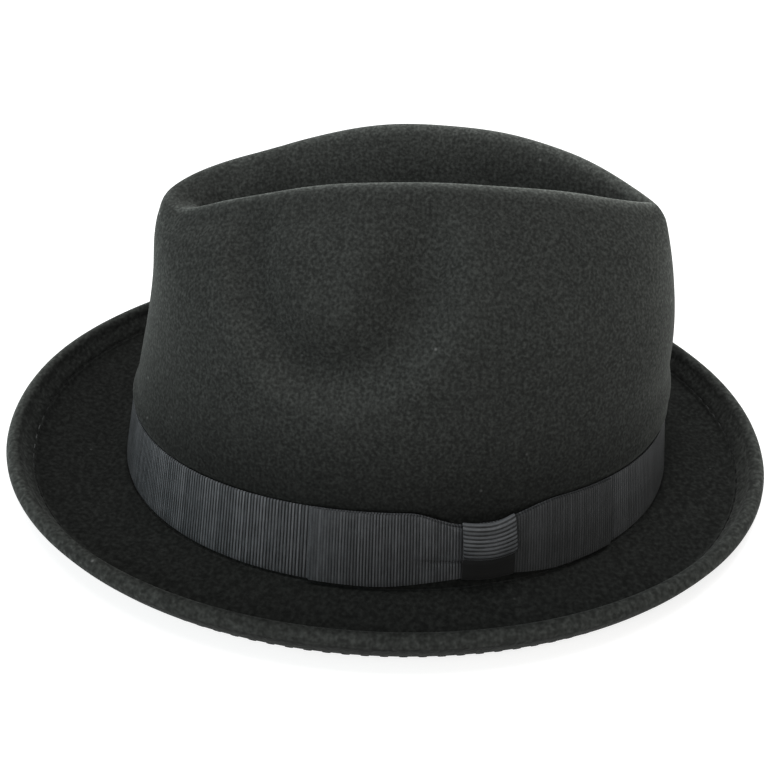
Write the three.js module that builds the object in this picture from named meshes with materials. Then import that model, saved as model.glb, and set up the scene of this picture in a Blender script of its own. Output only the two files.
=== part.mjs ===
// Fedora of black wool felt: one felt body (crown, brim and welted rim in one piece), a grosgrain
// ribbon band and a flat ribbon bow of a front loop, a knot and a back loop on the wearer's left.
// Millimetres. +Z is up, the front of the hat faces -Y and the wearer's left is +X.
// The hat rests on the underside of its brim at z = 0, with the origin below the middle of the brim.

import * as THREE from 'three';
import { mergeVertices } from 'three/addons/utils/BufferGeometryUtils.js';

// Driving dimensions

const STATIONS = 64;              // points round the head on every ring
const CROWN_SET_BACK = 3.5;       // the crown stands this far behind the middle of the brim
const PIECE_GAP = 0.3;            // clearance left between neighbouring pieces
const BRIM_FELT = 2.2;            // thickness of the brim
const CROWN_FELT = 2.0;           // thickness of the crown

// Reach is measured from the crown's centre line: half_width to each side, front and back along Y.
const RIM = { half_width: 116.0, front: 144.5, back: 137.5, front_power: 0.98, back_power: 1.0 };
const BREAK = { half_width: 85.2, front: 102.2, back: 102.4, side_z: 5.0, front_z: 0.6, back_z: 0.6 };
const BRIM_FLOOR = { side_z: 5.6, front_z: 6.4, back_z: 0.8 };   // height where the curl starts
const CURL = { run: 5.0, rise: 8.0 };                            // the turned-up edge of the brim

// Turned-up edge: inward of the rim as a share of the run, height as a share of the rise.
const CURL_ROWS = [
  { inward: 0.00, height: 1.00, thick: 4.0 },
  { inward: 0.12, height: 0.72, thick: 4.0 },
  { inward: 0.34, height: 0.42, thick: 4.0 },
  { inward: 0.66, height: 0.17, thick: 3.6 },
  { inward: 1.05, height: 0.03, thick: 2.8 },
];

// Brim: share of the way from the break out to the curl, share of the floor's height.
const BRIM_ROWS = [
  { across: 0.86, height: 0.82 },
  { across: 0.58, height: 0.40 },
  { across: 0.30, height: 0.00 },
  { across: 0.08, height: 0.00 },
];

// Crown, from the break up the wall, over the ridge and down the teardrop dent to its floor.
// crest_y is where along the ring it stands highest; a power under 1 squares the end, over 1 points it.
const CROWN_ROWS = readTable(
  ['name', 'half_width', 'front', 'back', 'side_z', 'front_z', 'back_z',
    'crest_y', 'front_power', 'back_power'],
  [
    ['wall foot',     84.1, 101.0, 101.3,   8.4,   4.0,   4.0,  0, 1.00, 1.00],
    ['band top',      80.0,  98.0,  99.2,  35.5,  31.0,  31.0,  0, 1.00, 1.00],
    ['mid wall',      74.6,  91.0,  98.6,  63.0,  59.0,  59.0,  4, 1.00, 1.00],
    ['upper wall',    65.0,  86.4,  95.8,  88.6,  79.0,  82.0,  8, 0.97, 1.02],
    ['shoulder',      48.5,  84.8,  92.6, 107.2,  93.6,  97.0, 10, 0.90, 1.10],
    ['ridge outside', 33.5,  82.8,  89.2, 117.6, 100.0, 102.6, 12, 0.82, 1.30],
    ['ridge',         24.5,  79.0,  85.0, 123.2, 104.2, 106.2, 12, 0.73, 1.55],
    ['ridge inside',  17.0,  73.0,  78.0, 118.5, 103.0, 104.5, 12, 0.76, 1.60],
    ['dent wall',     10.0,  67.5,  72.0, 108.0,  98.0, 102.0, 10, 0.85, 1.50],
    ['dent foot',      4.0,  63.0,  68.0,  99.5,  93.5, 100.0,  8, 0.95, 1.20],
    ['dent floor',     0.0,  60.0,  66.0,  97.0,  91.0,  98.5,  8, 1.00, 1.00],
  ],
);

// Finger pinch on each side of the front: a groove that bends round a point of the wall like a comma.
// Its depth grows from the bend's inside to its bed and falls off quickly beyond, which makes a lip.
const PINCH = { y: -27, z: 105, radius_y: 42, radius_z: 33, depth: 4.6 };
const PINCH_BED = { start: 0.1, deepest: 0.82, lip: 0.86, end: 1.24 };   // in radii from the point
const PINCH_HEADING = { back: 0.55, down: 0.83 };                        // the middle of the bend
const PINCH_REACH = { none: -0.1, full: 0.65 };                          // how far round the groove runs

// Ribbon band: its face that lies on the felt, at its lower and its upper edge.
const BAND_FOOT = { half_width: 85.7, front: 102.7, back: 102.9, side_z: 7.6, end_z: 3.5 };
const BAND_HEAD = { half_width: 81.4, front: 99.4, back: 100.6, side_z: 34.9, end_z: 30.5 };
const RIBBON = 0.8;               // thickness of the ribbon band

// Bow pieces. from and to are angles in degrees round the head from the wearer's left, back positive;
// foot and head are the levels on the band, 0 to 1, that a piece narrows to at the knot.
// flat is a loop's thickness, swell the rise of its belly and gathered its rise beside the knot.
const FRONT_LOOP = {
  from: -16.4, to: 12.7, stations: 14, levels: 6,
  drawn_from: 0.55, foot: 0.05, head: 0.87,
  flat: 1.3, swell: 0.9, gathered: 0.8,
};
const BACK_LOOP = {
  from: 23.3, to: 46.4, stations: 12, levels: 6,
  drawn_from: 0.6, foot: 0.04, head: 0.92,
  flat: 1.1, swell: 0.7, gathered: 1.2,
};
// The knot is edge thick at its rim and crest thick at the share of its height named fullest.
const KNOT = {
  from: 13.1, to: 22.9, stations: 6, levels: 8,
  foot: 0.07, head: 0.84,
  edge: 1.2, crest: 4.5, fullest: 0.46, bluntness: 0.8, end: 0.16,
};

const DEGREE = Math.PI / 180;
const TURN = 360 * DEGREE;
const FRONT_ANGLE = -90 * DEGREE;
const EDGE_TURNS = [45, 90, 135].map((turn) => turn * DEGREE);   // steps round the rim's rounded edge
const MERGE_DISTANCE = 1e-3;

// Helpers

function readTable(columns, rows) {
  return rows.map((row) => Object.fromEntries(columns.map((column, k) => [column, row[k]])));
}

const mix = (a, b, share) => a + (b - a) * share;
const smooth = (low, high, value) => THREE.MathUtils.smoothstep(value, low, high);
const hump = (share) => Math.sin(Math.PI * share);

// Ring table of the felt's middle surface

const COLUMNS = ['half_width', 'front', 'back', 'side_z', 'front_z', 'back_z',
  'crest_y', 'front_power', 'back_power', 'thick'];

function curlRing({ inward, height, thick }) {
  const step = inward * CURL.run;
  const lift = height * CURL.rise;
  return {
    half_width: RIM.half_width - step,
    front: RIM.front - step,
    back: RIM.back - step,
    side_z: BRIM_FLOOR.side_z + lift,
    front_z: BRIM_FLOOR.front_z + lift,
    back_z: BRIM_FLOOR.back_z + lift,
    crest_y: 0,
    front_power: RIM.front_power,
    back_power: RIM.back_power,
    thick,
  };
}

function brimRing({ across, height }) {
  const out = (key) => mix(BREAK[key], RIM[key] - CURL.run, across);
  const up = (key) => mix(BREAK[key], BRIM_FLOOR[key], height);
  return {
    half_width: out('half_width'),
    front: out('front'),
    back: out('back'),
    side_z: up('side_z'),
    front_z: up('front_z'),
    back_z: up('back_z'),
    crest_y: 0,
    front_power: mix(1, RIM.front_power, across),
    back_power: mix(1, RIM.back_power, across),
    thick: BRIM_FELT,
  };
}

const RINGS = [
  ...CURL_ROWS.map(curlRing),
  ...BRIM_ROWS.map(brimRing),
  { ...BREAK, crest_y: 0, front_power: 1, back_power: 1, thick: BRIM_FELT },
  ...CROWN_ROWS.map((row) => ({ ...row, thick: CROWN_FELT })),
];
const LAST_ROW = RINGS.length - 1;
const crownRow = (name) => RINGS.findIndex((ring) => ring.name === name);

// Smooth spline through the rows, column by column (Catmull-Rom).
function ringAt(row) {
  const i = Math.min(Math.floor(row), LAST_ROW - 1);
  const f = row - i;
  const pick = (k) => RINGS[THREE.MathUtils.clamp(k, 0, LAST_ROW)];
  const [a, b, c, d] = [pick(i - 1), pick(i), pick(i + 1), pick(i + 2)];
  const ring = {};
  for (const key of COLUMNS) {
    ring[key] = 0.5 * (2 * b[key] + (c[key] - a[key]) * f
      + (2 * a[key] - 5 * b[key] + 4 * c[key] - d[key]) * f ** 2
      + (3 * b[key] - a[key] - 3 * c[key] + d[key]) * f ** 3);
  }
  return ring;
}

// One point of a ring: an oval whose height falls away from its crest to the front and to the back.
function ringPoint(ring, angle) {
  const across = Math.cos(angle);
  const along = Math.sin(angle);
  const power = along < 0 ? ring.front_power : ring.back_power;
  const reach = along < 0 ? ring.front : ring.back;
  const x = Math.max(ring.half_width, 0) * Math.sign(across) * Math.abs(across) ** power;
  const y = along * reach;
  const fromCrest = y - ring.crest_y;
  const ahead = fromCrest < 0;
  const length = ahead ? -ring.front - ring.crest_y : ring.back - ring.crest_y;
  const z = mix(ring.side_z, ahead ? ring.front_z : ring.back_z, (fromCrest / length) ** 2);
  return new THREE.Vector3(x, CROWN_SET_BACK + y, z);
}

const middle = (row, angle) => ringPoint(ringAt(row), angle);

// Outward unit normal of the middle surface.
function normalAt(row, angle) {
  const step = 0.02;
  const higher = middle(Math.min(row + step, LAST_ROW), angle);
  const lower = middle(Math.max(row - step, 0), angle);
  const round = middle(row, angle + step).sub(middle(row, angle - step));
  return round.cross(higher.sub(lower)).normalize();
}

// Depth of the pinch at a point of the wall. The groove lies behind and below its point, and fades out
// towards the front edge of the crown and towards the ridge.
function pinchDepth(row, point) {
  const y = (point.y - PINCH.y) / PINCH.radius_y;
  const z = (point.z - PINCH.z) / PINCH.radius_z;
  const radius = Math.max(Math.hypot(y, z), Number.EPSILON);
  const inside = smooth(PINCH_BED.start, PINCH_BED.deepest, radius);
  const beyond = smooth(PINCH_BED.lip, PINCH_BED.end, radius);
  const heading = (PINCH_HEADING.back * y - PINCH_HEADING.down * z) / radius;
  const reach = smooth(PINCH_REACH.none, PINCH_REACH.full, heading);
  const onWall = 1 - smooth(crownRow('shoulder'), crownRow('ridge'), row);
  return PINCH.depth * inside * (1 - beyond) * reach * onWall;
}

// A point of the felt. side is 1 for the face seen from above and -1 for the face turned to the head
// and the table. Felt that would sink below z = 0 lies flat on it, and the last row closes to a line
// along the dent's floor.
function felt(row, angle, side) {
  const point = middle(row, angle);
  const offset = (side * ringAt(row).thick) / 2 - pinchDepth(row, point);
  point.addScaledVector(normalAt(row, angle), offset);
  point.z = Math.max(point.z, 0);
  if (row === LAST_ROW) {
    point.x = 0;
  }
  return point;
}

// The rounded outer edge of the rim, from the upper face round to the lower one.
function rimEdge(angle, turn) {
  const step = 0.05;
  const start = middle(0, angle);
  const outward = start.clone().sub(middle(step, angle)).normalize();
  const radius = RINGS[0].thick / 2;
  start.addScaledVector(normalAt(0, angle), radius * Math.cos(turn));
  return start.addScaledVector(outward, radius * Math.sin(turn));
}

// Meshes

// Joins rings of points into one closed mesh. Points that meet are merged, and the faces that
// collapse to a line where a ring closes to a point are left out.
function meshFromRings(rings) {
  const count = rings[0].length;
  const index = [];
  for (let r = 0; r < rings.length - 1; r += 1) {
    for (let k = 0; k < count; k += 1) {
      const a = r * count + k;
      const b = r * count + ((k + 1) % count);
      index.push(a, b, b + count, a, b + count, a + count);
    }
  }
  const positions = rings.flat().flatMap((point) => point.toArray());
  const loose = new THREE.BufferGeometry();
  loose.setAttribute('position', new THREE.Float32BufferAttribute(positions, 3));
  loose.setIndex(index);
  const geometry = mergeVertices(loose, MERGE_DISTANCE);
  const merged = geometry.getIndex().array;
  const kept = [];
  for (let i = 0; i < merged.length; i += 3) {
    const face = [merged[i], merged[i + 1], merged[i + 2]];
    if (new Set(face).size === face.length) {
      kept.push(...face);
    }
  }
  geometry.setIndex(kept);
  return geometry;
}

const HEAD_ANGLES = Array.from({ length: STATIONS }, (_, k) => FRONT_ANGLE + (k * TURN) / STATIONS);
const ringOf = (pointAt) => HEAD_ANGLES.map(pointAt);

// Rows at which the felt is sampled: every table row, and halfway where the ridge and the dent bend most.
function sampledRows() {
  const rows = [];
  const halvedFrom = crownRow('upper wall');
  const halvedTo = crownRow('dent wall');
  for (let row = 0; row <= LAST_ROW; row += 1) {
    rows.push(row);
    if (row >= halvedFrom && row < halvedTo) {
      rows.push(row + 0.5);
    }
  }
  return rows;
}

function feltBody() {
  const rows = sampledRows();
  const lower = rows.map((row) => ringOf((angle) => felt(row, angle, -1))).reverse();
  const edge = EDGE_TURNS.map((turn) => ringOf((angle) => rimEdge(angle, turn))).reverse();
  const upper = rows.map((row) => ringOf((angle) => felt(row, angle, 1)));
  return meshFromRings([...lower, ...edge, ...upper]);
}

// A point on the face where the ribbon lies on the felt: level runs from the lower edge (0) to the
// upper one (1).
function onFelt(angle, level) {
  const along = Math.sin(angle);
  const side = along < 0 ? 'front' : 'back';
  const at = (key) => mix(BAND_FOOT[key], BAND_HEAD[key], level);
  const z = mix(at('end_z'), at('side_z'), Math.cos(angle) ** 2);
  return new THREE.Vector3(at('half_width') * Math.cos(angle), CROWN_SET_BACK + at(side) * along, z);
}

// The same point moved outwards, level with the table, by the distance stand.
function onBand(angle, level, stand) {
  const step = 0.01;
  const tangent = onFelt(angle + step, level).sub(onFelt(angle - step, level));
  const out = new THREE.Vector3(tangent.y, -tangent.x, 0).normalize();
  return onFelt(angle, level).addScaledVector(out, stand);
}

function ribbonBand() {
  const section = [[0, 0], [0, RIBBON], [0.5, RIBBON], [1, RIBBON], [1, 0], [0.5, 0], [0, 0]];
  return meshFromRings(section.map(([level, stand]) => ringOf((angle) => onBand(angle, level, stand))));
}

// A closed piece laid on the band. shape(along, up) gives its level on the band and its thickness.
function bowPiece({ from, to, stations, levels }, shape) {
  const inner = RIBBON + PIECE_GAP;
  const sections = [];
  for (let i = stations; i >= 0; i -= 1) {
    const along = i / stations;
    const angle = mix(from, to, along) * DEGREE;
    const outerFace = [];
    const innerFace = [];
    for (let j = 0; j <= levels; j += 1) {
      const { level, thick } = shape(along, j / levels);
      outerFace.push(onBand(angle, level, inner + thick));
      innerFace.unshift(onBand(angle, level, inner));
    }
    sections.push([...outerFace, ...innerFace]);
  }
  return meshFromRings([centreOf(sections[0]), ...sections, centreOf(sections[stations])]);
}

// A ring whose points all lie at the middle of the section, which closes an end.
function centreOf(section) {
  const centre = new THREE.Vector3();
  section.forEach((point) => centre.add(point));
  centre.divideScalar(section.length);
  return section.map(() => centre.clone());
}

// A doubled flat ribbon whose belly swells a little and which is drawn together at the knot.
// knotward runs from the loop's free end (0) to the knot (1).
function loopShape(loop, knotward, up) {
  const drawn = smooth(loop.drawn_from, 1, knotward);
  const rise = mix(loop.swell * hump(knotward), loop.gathered, drawn);
  return {
    level: mix(mix(0, loop.foot, drawn), mix(1, loop.head, drawn), up),
    thick: loop.flat + rise * hump(up),
  };
}

// Knot: a short wrap across the bow, standing out furthest just below its middle.
function knotShape(along, up) {
  const across = Math.sqrt(hump(mix(KNOT.end, 1 - KNOT.end, along)));
  const risen = up < KNOT.fullest ? up / KNOT.fullest : (1 - up) / (1 - KNOT.fullest);
  const bulge = hump(risen / 2) ** KNOT.bluntness;
  return {
    level: mix(KNOT.foot, KNOT.head, up),
    thick: mix(KNOT.edge, KNOT.crest, bulge * across),
  };
}

// Finishes

const feltFinish = new THREE.MeshStandardMaterial({ color: 0x1c1e1d, roughness: 0.95, metalness: 0 });
const ribbonFinish = new THREE.MeshStandardMaterial({ color: 0x202327, roughness: 0.6, metalness: 0 });

function piece(name, geometry, material) {
  const mesh = new THREE.Mesh(geometry, material.clone());
  mesh.name = name;
  geometry.computeVertexNormals();
  return mesh;
}

const frontLoop = bowPiece(FRONT_LOOP, (along, up) => loopShape(FRONT_LOOP, along, up));
const backLoop = bowPiece(BACK_LOOP, (along, up) => loopShape(BACK_LOOP, 1 - along, up));

const trim = new THREE.Group();
trim.add(
  piece('ribbon_band', ribbonBand(), ribbonFinish),
  piece('bow_front_loop', frontLoop, ribbonFinish),
  piece('bow_knot', bowPiece(KNOT, knotShape), ribbonFinish),
  piece('bow_back_loop', backLoop, ribbonFinish),
);

const hat = new THREE.Group();
hat.add(piece('felt_body', feltBody(), feltFinish), trim);

export default hat;
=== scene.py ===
"""Black wool-felt fedora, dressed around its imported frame.

The felt is one surface of stacked ovals, the ribbon band and bow are ribbed strips laid on the crown's
foot, and the welt's stitches follow the brim's edge. Shapes are worked out in millimetres and put into
their meshes in metres. +Z is up, the front of the hat faces -Y and the wearer's left is +X.
"""

import logging
from dataclasses import dataclass, fields, replace
from enum import Enum
from typing import Callable, Iterable

import bmesh
import bpy
import numpy as np
from mathutils import Matrix, Vector


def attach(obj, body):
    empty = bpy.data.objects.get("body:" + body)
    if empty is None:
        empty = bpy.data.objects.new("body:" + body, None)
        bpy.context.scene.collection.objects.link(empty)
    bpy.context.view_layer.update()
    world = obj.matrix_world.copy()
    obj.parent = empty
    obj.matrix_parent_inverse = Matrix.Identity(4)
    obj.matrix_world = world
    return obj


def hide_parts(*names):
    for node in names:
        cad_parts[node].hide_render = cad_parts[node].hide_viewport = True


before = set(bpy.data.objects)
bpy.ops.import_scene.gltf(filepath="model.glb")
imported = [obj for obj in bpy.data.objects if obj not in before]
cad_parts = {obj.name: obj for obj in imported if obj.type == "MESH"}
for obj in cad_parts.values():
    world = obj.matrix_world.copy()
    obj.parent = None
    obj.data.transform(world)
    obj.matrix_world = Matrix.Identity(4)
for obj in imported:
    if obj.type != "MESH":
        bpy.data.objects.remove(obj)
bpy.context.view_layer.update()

log = logging.getLogger("fedora")

Array = np.ndarray
Colour = tuple[float, float, float]
Point = tuple[float, float, float]
Span = tuple[float, float]
Piece = bpy.types.Object
Material = bpy.types.Material
Tree = bpy.types.ShaderNodeTree
Node = bpy.types.Node
Outputs = bpy.types.bpy_prop_collection
Socket = bpy.types.NodeSocket
Value = Socket | float | Colour
MM = 0.001
DEGREE = np.pi / 180
NOISE_RANGE = (0.25, 0.75)
CROWN_SET_BACK = 3.5
HEAD_RADIUS = 85.0
PIECE_NAMES = {
    "felt": "felt_shell",
    "band": "band_ribbon",
    "front": "front_loop_ribbon",
    "back": "back_loop_ribbon",
    "knot": "knot_ribbon",
    "stitches": "welt_stitches",
}


class Slot(Enum):
    """The record's material slots."""

    FELT = "felt"
    RIBBON = "ribbon"


class Held(Enum):
    """How a strip of ribbon is held."""

    STRETCHED = "stretched"
    FOLDED = "folded"


def mix(low: Array | float, high: Array | float, share: Array | float) -> Array:
    """Linear blend from low (share 0) to high (share 1)."""
    return low + (high - low) * share


def smooth(low: float, high: float, value: Array | float) -> Array:
    """Cubic step that is 0 below low, 1 above high and 3t^2 - 2t^3 between."""
    share = np.clip((value - low) / (high - low), 0, 1)
    return share * share * (3 - 2 * share)


def bell(value: Array, centre: float, width: float | Array) -> Array:
    """Gaussian bell: exp(-((value - centre) / width)^2)."""
    return np.exp(-(((value - centre) / width) ** 2))


def to_degrees(angle: Array) -> Array:
    """Radians turned into degrees from -180 to 180."""
    return (angle / DEGREE + 180) % 360 - 180


def unit(vectors: Array) -> Array:
    """Vectors scaled to length 1 along the last axis."""
    return vectors / np.maximum(np.linalg.norm(vectors, axis=-1, keepdims=True), 1e-12)


def arc_length(points: Array, axis: int) -> Array:
    """Running length of a grid of points along one of its axes, from 0 at its first point."""
    steps = np.linalg.norm(np.diff(points, axis=axis), axis=-1)
    padding = [(0, 0)] * steps.ndim
    padding[axis] = (1, 0)
    return np.pad(np.cumsum(steps, axis=axis), padding)


def spline(table: Array, at: Array) -> Array:
    """Catmull-Rom spline through a table's values at whole numbers.

    Between entries b and c, with neighbours a and d and share f, it is half of
    2b + (c - a)f + (2a - 5b + 4c - d)f^2 + (3b - a - 3c + d)f^3.

    Args:
        table: Values at 0, 1, 2 and so on.
        at: Places between 0 and the last entry.

    Returns:
        The value at each place.
    """
    last = len(table) - 1
    cell = np.clip(np.floor(at).astype(int), 0, last - 1)
    f = at - cell
    a, b, c, d = (table[np.clip(cell + k, 0, last)] for k in (-1, 0, 1, 2))
    square = (2 * a - 5 * b + 4 * c - d) * f**2
    cube = (3 * b - a - 3 * c + d) * f**3
    return (2 * b + (c - a) * f + square + cube) / 2


@dataclass(frozen=True)
class Oval:
    """One ring of the felt's middle surface, in millimetres.

    Reach is measured from the crown's centre line, and the ring stands highest at crest_y. A power under
    1 squares an end of the oval, and one over 1 points it.
    """

    half_width: float
    front: float
    back: float
    side_z: float
    front_z: float
    back_z: float
    crest_y: float = 0.0
    front_power: float = 1.0
    back_power: float = 1.0
    thick: float = 2.0
    front_fall: float = 2.0
    back_fall: float = 2.0


RIM = Oval(116.5, 143.1, 136.6, 14.0, 14.3, 8.8, front_power=0.96, back_power=0.975, thick=5.6)
BREAK = Oval(85.2, 102.2, 102.4, 5.0, 0.6, 0.6, thick=2.2)
BRIM_FLOOR_Z = {"side_z": 3.8, "front_z": 6.0, "back_z": 0.8}
CURL_RUN = 5.2
BRIM_THICK = 2.2
ROW_STEP = 0.05
REACHES = ("half_width", "front", "back")


def curl_ring(inward: float, height: float, thick: float) -> Oval:
    """A ring of the turned-up edge: inward in runs of the curl, height in shares from floor to rim."""
    heights = {key: mix(value, getattr(RIM, key), height) for key, value in BRIM_FLOOR_Z.items()}
    reach = {key: getattr(RIM, key) - inward * CURL_RUN for key in REACHES}
    return replace(RIM, thick=thick, **reach, **heights)


def brim_ring(across: float, height: float) -> Oval:
    """A ring of the brim's floor, at shares of the way from the crown's foot out and up to the curl."""
    reach = {key: mix(getattr(BREAK, key), getattr(RIM, key) - CURL_RUN, across) for key in REACHES}
    heights = {key: mix(getattr(BREAK, key), z, height) for key, z in BRIM_FLOOR_Z.items()}
    powers = {key: mix(1, getattr(RIM, key), across) for key in ("front_power", "back_power")}
    return Oval(**reach, **heights, **powers, thick=BRIM_THICK)


CURL_RINGS = {
    "rim": curl_ring(inward=0.00, height=1.00, thick=5.6),
    "rim inside": curl_ring(inward=0.18, height=0.76, thick=5.1),
    "curl": curl_ring(inward=0.46, height=0.48, thick=4.7),
    "curl foot": curl_ring(inward=0.82, height=0.22, thick=4.0),
    "welt": curl_ring(inward=1.20, height=0.05, thick=3.1),
}
BRIM_RINGS = {
    "brim outside": brim_ring(across=0.86, height=0.82),
    "brim middle": brim_ring(across=0.58, height=0.40),
    "brim inside": brim_ring(across=0.30, height=0.00),
    "brim foot": brim_ring(across=0.08, height=0.00),
    "break": BREAK,
}
CROWN_RINGS = {
    "wall foot": Oval(84.1, 101.0, 101.3, side_z=8.4, front_z=4.0, back_z=4.0),
    "band top": Oval(80.0, 96.4, 98.6, side_z=35.5, front_z=31.0, back_z=31.0),
    "mid wall": Oval(74.6, 90.2, 98.4, side_z=63.0, front_z=59.0, back_z=59.0, crest_y=4),
    "upper wall": Oval(
        65.0, 86.4, 95.8, side_z=88.6, front_z=79.0, back_z=82.0, crest_y=8, front_power=0.97,
        back_power=1.02,
    ),
    "shoulder": Oval(
        48.5, 84.8, 92.6, side_z=107.2, front_z=93.6, back_z=97.0, crest_y=10, front_power=0.90,
        back_power=1.10,
    ),
    "ridge outside": Oval(
        33.3, 83.4, 90.2, side_z=117.6, front_z=100.3, back_z=103.2, crest_y=12, front_power=0.92,
        back_power=1.38, front_fall=1.75, back_fall=2.2,
    ),
    "ridge": Oval(
        24.3, 80.7, 86.0, side_z=123.2, front_z=105.0, back_z=107.0, crest_y=12, front_power=0.90,
        back_power=1.68, front_fall=1.75, back_fall=2.2,
    ),
    "ridge inside": Oval(
        17.0, 73.6, 78.6, side_z=118.5, front_z=103.0, back_z=104.7, crest_y=12, front_power=0.90,
        back_power=1.72, front_fall=1.75, back_fall=2.2,
    ),
    "dent wall": Oval(
        10.0, 67.5, 72.0, side_z=108.0, front_z=98.0, back_z=102.0, crest_y=10, front_power=0.85,
        back_power=1.50,
    ),
    "dent foot": Oval(
        4.0, 63.0, 68.0, side_z=99.5, front_z=93.5, back_z=100.0, crest_y=8, front_power=0.95,
        back_power=1.20,
    ),
    "dent floor": Oval(0.0, 60.0, 66.0, side_z=97.0, front_z=91.0, back_z=98.5, crest_y=8),
}
RINGS = {**CURL_RINGS, **BRIM_RINGS, **CROWN_RINGS}
ROW = {name: number for number, name in enumerate(RINGS)}
LAST_ROW = len(RINGS) - 1


@dataclass(frozen=True)
class Press:
    """A place that handling has left a little higher or lower: a bell in rows and in degrees."""

    rise: float
    ring: str
    rows: float
    degrees: float
    spread: float


PRESSES = (
    Press(rise=0.9, ring="ridge", rows=1.3, degrees=-22.0, spread=16.0),
    Press(rise=-3.0, ring="ridge", rows=1.3, degrees=-66.0, spread=17.0),
    Press(rise=-1.6, ring="ridge", rows=1.3, degrees=40.0, spread=32.0),
    Press(rise=-1.1, ring="ridge", rows=1.3, degrees=-140.0, spread=18.0),
    Press(rise=-1.2, ring="rim", rows=2.5, degrees=122.0, spread=22.0),
    Press(rise=-0.9, ring="rim", rows=2.5, degrees=-125.0, spread=20.0),
)


@dataclass(frozen=True)
class Shade:
    """Painted light and shade on a line round the hat: a factor on the felt's colour at its sides, its front
    and its back.
    """

    side: float
    front: float
    back: float


def even(tone: float) -> Shade:
    """The same factor of painted light all round."""
    return Shade(tone, tone, tone)


# Painted light and shade ring by ring, as factors on the felt's colour: the brim and the crown's foot
# painted dark where little light falls, the walls paler, and the front and back paler or darker by how the
# lamps fall.
PAINTED_LIGHT_BY_RING = {
    "rim": Shade(side=0.20, front=0.62, back=0.82),
    "rim inside": Shade(side=0.24, front=0.82, back=0.85),
    "curl": Shade(side=0.34, front=0.70, back=0.78),
    "curl foot": Shade(side=0.36, front=0.52, back=0.60),
    "welt": Shade(side=0.35, front=0.40, back=0.52),
    "brim outside": Shade(side=0.34, front=0.41, back=0.54),
    "brim inside": Shade(side=0.36, front=0.41, back=0.53),
    "break": even(0.40),
    "wall foot": even(0.42),
    "band top": Shade(side=0.40, front=0.50, back=0.60),
    "mid wall": Shade(side=0.97, front=0.70, back=0.92),
    "upper wall": Shade(side=1.18, front=0.76, back=1.04),
    "ridge outside": Shade(side=0.98, front=0.95, back=1.05),
    "ridge": even(1.0),
    "ridge inside": even(1.1),
    "dent wall": even(0.97),
    "dent floor": even(0.90),
}
# Painted light and shade round the rim's rounded edge, from the upper face round to the lower one.
PAINTED_LIGHT_ON_EDGE = (
    Shade(side=0.20, front=0.54, back=0.82),
    Shade(side=0.20, front=0.75, back=1.00),
    Shade(side=0.27, front=1.25, back=1.35),
    Shade(side=0.67, front=1.52, back=1.52),
    Shade(side=0.81, front=1.50, back=1.48),
    Shade(side=0.93, front=1.28, back=1.20),
    Shade(side=1.12, front=1.10, back=0.90),
    Shade(side=0.98, front=0.80, back=0.75),
    Shade(side=0.50, front=0.50, back=0.50),
)
# Painted shade over the felt's whole lower face.
UNDERSIDE_PAINTED_SHADE = 0.27


@dataclass(frozen=True)
class PaintedLightPatch:
    """A patch of the crown's wall painted paler or darker: a painted highlight or painted shade."""

    gain: float
    y: float
    z: float
    radius_y: float
    radius_z: float

    def painted_light_at(self, point: Array) -> Array:
        """Factor on the painted light and shade: 1 plus the gain times a bell in y times a bell in z."""
        along = bell(point[..., 1], self.y, self.radius_y)
        return 1 + self.gain * along * bell(point[..., 2], self.z, self.radius_z)


# Painted shade on the upper wall behind the pinch, and painted highlights near the crown's front and back
# ends.
PAINTED_LIGHT_PATCHES = (
    PaintedLightPatch(gain=-0.19, y=32.0, z=86.0, radius_y=30.0, radius_z=30.0),
    PaintedLightPatch(gain=0.22, y=92.0, z=93.0, radius_y=13.0, radius_z=14.0),
    PaintedLightPatch(gain=0.22, y=-82.0, z=92.0, radius_y=12.0, radius_z=14.0),
)


def shade_between(shades: Iterable[Shade], places: Array, at: Array, angle: Array) -> Array:
    """Painted light and shade over a grid: linear between shades, and by sin(angle)^2 from the side to an
    end.
    """
    columns = np.array([(shade.side, shade.front, shade.back) for shade in shades]).T
    side, front, back = (np.interp(at, places, column)[:, None] for column in columns)
    along = np.sin(angle)
    return mix(side, np.where(along < 0, front, back), along**2)


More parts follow.
